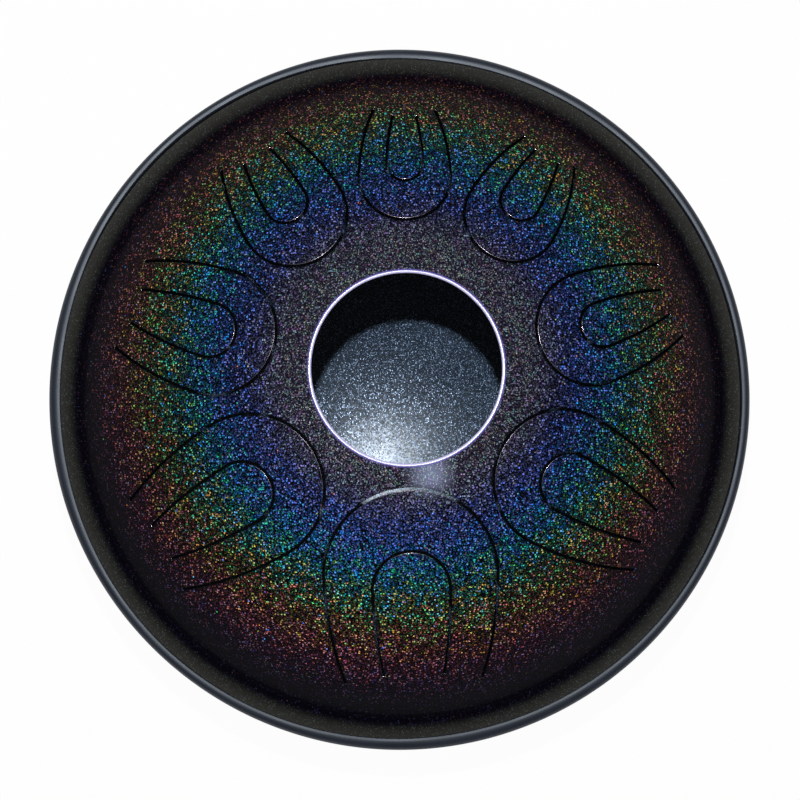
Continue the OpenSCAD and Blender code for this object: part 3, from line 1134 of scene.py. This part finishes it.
# %% Rubber rim
RIM_WALL = 1.8 * MM
RIM_GAP = 0.2 * MM
NOSE_STEPS = 24
LIP_STEPS = 5
LIP_ROUND = 0.8 * MM
SWEEP_POINTS = 480

# Each wave of the lip: how many times it comes around, how far it reaches, and where it peaks in degrees
RIM_WAVES = ((1, 0.65 * MM, 70), (2, 0.25 * MM, -10), (3, 0.55 * MM, 0), (4, 0.35 * MM, -43))


def rim_profile():
    """The edging's cross-section: x runs outwards and y up from the joint."""
    half = rim_high.z - joint_z
    nose_x = rim_r - half
    lip_x = min(vertex.co.x for vertex in frame["nodes"]["rim_band"].data.vertices
                if vertex.co.x > 0 and abs(vertex.co.y) < PLAN_SNAP)
    channel_x = edge_r + RIM_GAP
    channel_y = half - RIM_WALL
    quarter = math.pi / 2
    past = math.asin((nose_x - lip_x - LIP_ROUND) / (half - LIP_ROUND))
    lip_y = (half - LIP_ROUND) * math.cos(past)
    profile = arc((nose_x, 0), half, -quarter - past, quarter + past, NOSE_STEPS)
    profile += arc((lip_x + LIP_ROUND, lip_y), LIP_ROUND, quarter + past, 2 * quarter, LIP_STEPS)
    profile += [(lip_x, channel_y), (channel_x, channel_y), (channel_x, -channel_y), (lip_x, -channel_y)]
    profile += arc((lip_x + LIP_ROUND, -lip_y), LIP_ROUND, 2 * quarter, 3 * quarter - past, LIP_STEPS)
    return profile


def profile_curve(name, points):
    curve = bpy.data.curves.new(name, "CURVE")
    curve.dimensions = "2D"
    curve.fill_mode = "NONE"
    spline = curve.splines.new("POLY")
    spline.points.add(len(points) - 1)
    for point, (x, y) in zip(spline.points, points):
        point.co = (x - rim_r, y, 0.0, 1.0)
    spline.use_cyclic_u = True
    return in_scene(name, curve)


def sweeping_tree():
    tree, nodes, given = new_tree(
        "sweep_profile", Object=["Profile"], Float=["Path radius", "Path height"], Int=["Path points"])
    path = nodes.add("GeometryNodeCurvePrimitiveCircle", {"mode": "RADIUS"},
                     {"Resolution": given("Path points"), "Radius": given("Path radius")})("Curve")
    profile = nodes.add("GeometryNodeObjectInfo", None, {"Object": given("Profile")})("Geometry")
    swept = nodes.add("GeometryNodeCurveToMesh", None, {"Curve": path, "Profile Curve": profile})("Mesh")
    lift = nodes.add("ShaderNodeCombineXYZ", None, {2: given("Path height")})(0)
    raised = nodes.add("GeometryNodeSetPosition", None, {"Geometry": swept, "Offset": lift})(0)
    finish_tree(nodes, raised, given("Material"))
    return tree


def wander(turn):
    """How far the edging's upper lip lies outwards in this direction: it is pushed on by hand."""
    return sum(reach * math.cos(count * (turn - math.radians(peak))) for count, reach, peak in RIM_WAVES)


def let_lip_wander(mesh):
    """Shifts the part of the edging above the flanges, least at its nose."""
    half = rim_high.z - joint_z
    for vertex in mesh.vertices:
        if vertex.co.z > joint_z + half - RIM_WALL + PLAN_SNAP:
            reach = math.hypot(vertex.co.x, vertex.co.y)
            share = min(1.0, (rim_r - reach) / half)
            shift = wander(math.atan2(vertex.co.y, vertex.co.x)) * share / reach
            vertex.co.x += vertex.co.x * shift
            vertex.co.y += vertex.co.y * shift


rim_shape = profile_curve("rim_profile", rim_profile())
rim_piece = baked("rubber_rim_edging", bpy.data.meshes.new("rim_start"), sweeping_tree(), {
    "Profile": rim_shape, "Path radius": rim_r, "Path height": joint_z,
    "Path points": SWEEP_POINTS, "Material": rim_rubber})
bpy.data.objects.remove(rim_shape)
let_lip_wander(rim_piece.data)
rim_size = [max(v.co[axis] for v in rim_piece.data.vertices) for axis in range(3)]
print("rim reaches", [round(value / MM, 2) for value in rim_size], "mm")

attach(rim_piece, "drum")
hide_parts("rim_band")

# %% [markdown]
# The bonding ring between the flanges is hidden by the rim. Its solid is right as it is, so it only gets
# its material.

# %% Bonding ring
seal = frame["nodes"]["flange_seal"]
seal.data.materials.clear()
seal.data.materials.append(bonding_paste)

# %% [markdown]
# Four rubber feet are glued under the lower shell. One is modelled where the first one stands, from a
# profile turned about its own axis, with its top hollowed to the shell. Instances then repeat it around
# the drum's axis, because repeated parts are best described once.

# %% Rubber feet
FOOT_COUNT = 4
FOOT_RING_R = 80 * MM
FOOT_D = 22 * MM
FOOT_TOP_D = 26 * MM
SOLE_RING_W = 4 * MM
SOLE_DISH = 1 * MM
SOLE_ROUND = 1 * MM
GLUE_T = 0.1 * MM
FOOT_SIDES = 64
FOOT_STEPS = 6


def foot_top_z(x, y):
    """Where a foot meets the glue under the lower shell."""
    return 2 * joint_z - dome_centre_z - math.sqrt((dome_r + GLUE_T) ** 2 - x**2 - y**2)


def foot_profile():
    """Radius and height of the sole and the side, and how far each point goes up to the shell."""
    dish_r = FOOT_D / 2 - SOLE_RING_W
    quarter = math.pi / 2
    sole = [(0.0, SOLE_DISH, 0.0), (dish_r - SOLE_ROUND, SOLE_DISH, 0.0), (dish_r, SOLE_DISH / 2, 0.0),
            (dish_r + SOLE_ROUND / 2, 0.0, 0.0)]
    for step in range(FOOT_STEPS + 1):
        turn = quarter * step / FOOT_STEPS
        reach = FOOT_D / 2 - SOLE_ROUND + SOLE_ROUND * math.sin(turn)
        sole.append((reach, SOLE_ROUND * (1 - math.cos(turn)), 0.0))
    side = [(FOOT_D / 2 + (FOOT_TOP_D - FOOT_D) / 2 * step / FOOT_STEPS, 0.0, step / FOOT_STEPS)
            for step in range(1, FOOT_STEPS + 1)]
    top = [(FOOT_TOP_D / 2 * (1 - step / FOOT_STEPS), 0.0, 1.0) for step in range(1, FOOT_STEPS + 1)]
    return sole + side + top


def foot_mesh():
    rings = foot_profile()
    points, faces = [], []
    for ring, (radius, height, share) in enumerate(rings):
        sides = 1 if radius < PLAN_SNAP else FOOT_SIDES
        for side in range(sides):
            turn = 2 * math.pi * side / FOOT_SIDES
            x, y = FOOT_RING_R + radius * math.cos(turn), radius * math.sin(turn)
            low = height if share == 0 else SOLE_ROUND
            points.append((x, y, low + (foot_top_z(x, y) - low) * share))
    starts = [0] + [1 + FOOT_SIDES * step for step in range(len(rings) - 1)]
    for side in range(FOOT_SIDES):
        after = (side + 1) % FOOT_SIDES
        faces.append((0, starts[1] + side, starts[1] + after))
        for ring in range(1, len(rings) - 2):
            a, b = starts[ring], starts[ring + 1]
            faces.append((a + side, b + side, b + after, a + after))
        faces.append((starts[-2] + side, starts[-1], starts[-2] + after))
    mesh = bpy.data.meshes.new("foot_start")
    mesh.from_pydata(points, [], [tuple(reversed(face)) for face in faces])
    return mesh


def repeating_tree():
    tree, nodes, given = new_tree("repeat_around_axis", Int=["Count"], Float=["First turn"])
    spots = nodes.add("GeometryNodePoints", None, {"Count": given("Count")})(0)
    index = nodes.add("GeometryNodeInputIndex")(0)
    turn = given("First turn") + index * (2 * math.pi) / given("Count")
    rotation = nodes.add("ShaderNodeCombineXYZ", None, {2: turn})(0)
    placed = nodes.add("GeometryNodeInstanceOnPoints", None,
                       {"Points": spots, "Instance": given("Geometry"), "Rotation": rotation})(0)
    finish_tree(nodes, placed, given("Material"))
    return tree


feet = baked("rubber_feet", foot_mesh(), repeating_tree(), {
    "Count": FOOT_COUNT, "First turn": math.pi / FOOT_COUNT, "Material": foot_rubber})
print("feet points:", len(feet.data.vertices))
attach(feet, "drum")
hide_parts(*[f"foot_{number}" for number in range(1, FOOT_COUNT + 1)])

# %% [markdown]
# The photograph was lit by one small lamp beside the camera, towards the top of the picture. It throws
# the round patch of light through the sound hole and leaves a dark crescent above it. The world fills the
# rest softly. It is pale near the horizon, for side views, and dim overhead, so the black lacquer stays
# black. The floor is pale, and seen by the camera it is nearly white but keeps the drum's shadow.

# %% Floor, world and lamp
FLOOR_REACH = 4.0
FLOOR_COLOUR = (0.82, 0.82, 0.82, 1.0)
FLOOR_GLOW_SHARE = 0.97
WORLD_FILL = 0.22
WORLD_PALE = 0.5
WORLD_DIM = 0.10
HORIZON = (0.05, 0.30)
KEY_PLACE = Vector((-27 * MM, 173 * MM, 1084 * MM))
KEY_D = 28 * MM
KEY_SHARE = 0.85


def looking_ray(nodes):
    """1 for rays that look at things, straight or by a mirror or glass, and 0 for the light on things."""
    path = nodes.add("ShaderNodeLightPath")
    seen = path("Is Camera Ray")
    for kind in ("Is Glossy Ray", "Is Transmission Ray"):
        seen = nodes.math("MAXIMUM", seen, path(kind))
    return seen


def pale_floor():
    mesh = bpy.data.meshes.new("floor")
    corners = [(x * FLOOR_REACH, y * FLOOR_REACH, 0) for x, y in ((-1, -1), (1, -1), (1, 1), (-1, 1))]
    mesh.from_pydata(corners, [], [(0, 1, 2, 3)])
    floor = in_scene("floor", mesh)
    material, nodes = new_finish("pale_floor")
    seen = looking_ray(nodes)
    matte = nodes.add("ShaderNodeBsdfDiffuse", None, {"Color": FLOOR_COLOUR})("BSDF")
    white = nodes.add("ShaderNodeEmission", None, {"Strength": 1.0})("Emission")
    shader = nodes.add("ShaderNodeMixShader", None, {0: seen * FLOOR_GLOW_SHARE, 1: matte, 2: white})(0)
    nodes.add("ShaderNodeOutputMaterial", None, {"Surface": shader})
    mesh.materials.append(material)


def soft_world():
    world = bpy.data.worlds.new("world")
    world.use_nodes = True
    world.node_tree.nodes.clear()
    nodes = Nodes(world.node_tree)
    sky = nodes.add("ShaderNodeSeparateXYZ", None, {0: nodes.add("ShaderNodeTexCoord")("Generated")})
    seen = looking_ray(nodes)
    shown = nodes.between(sky("Z"), *HORIZON, WORLD_PALE, WORLD_DIM)
    strength = seen * shown + (1 - seen) * WORLD_FILL
    glow = nodes.add("ShaderNodeBackground", None, {"Strength": strength})(0)
    nodes.add("ShaderNodeOutputWorld", None, {"Surface": glow})
    bpy.context.scene.world = world


def key_lamp():
    lamp = bpy.data.lights.new("key", "AREA")
    lamp.shape = "DISK"
    lamp.size = KEY_D
    aim = Vector((0, 0, joint_z))
    reach = (KEY_PLACE - aim).length
    # At pi squared times the distance squared, in watts, a white sheet that faces the lamp renders white
    lamp.energy = KEY_SHARE * math.pi**2 * reach**2
    thing = in_scene("key", lamp)
    turn = look_along((KEY_PLACE - aim).normalized(), PICTURE_UP)
    thing.matrix_world = Matrix.Translation(KEY_PLACE) @ turn.to_4x4()
    print(f"key lamp {lamp.energy:.1f} W")


pale_floor()
soft_world()
key_lamp()
bpy.context.scene.view_settings.view_transform = "Standard"

# %% [markdown]
# Last, the view layer is brought up to date.

# %% The end
bpy.context.view_layer.update()
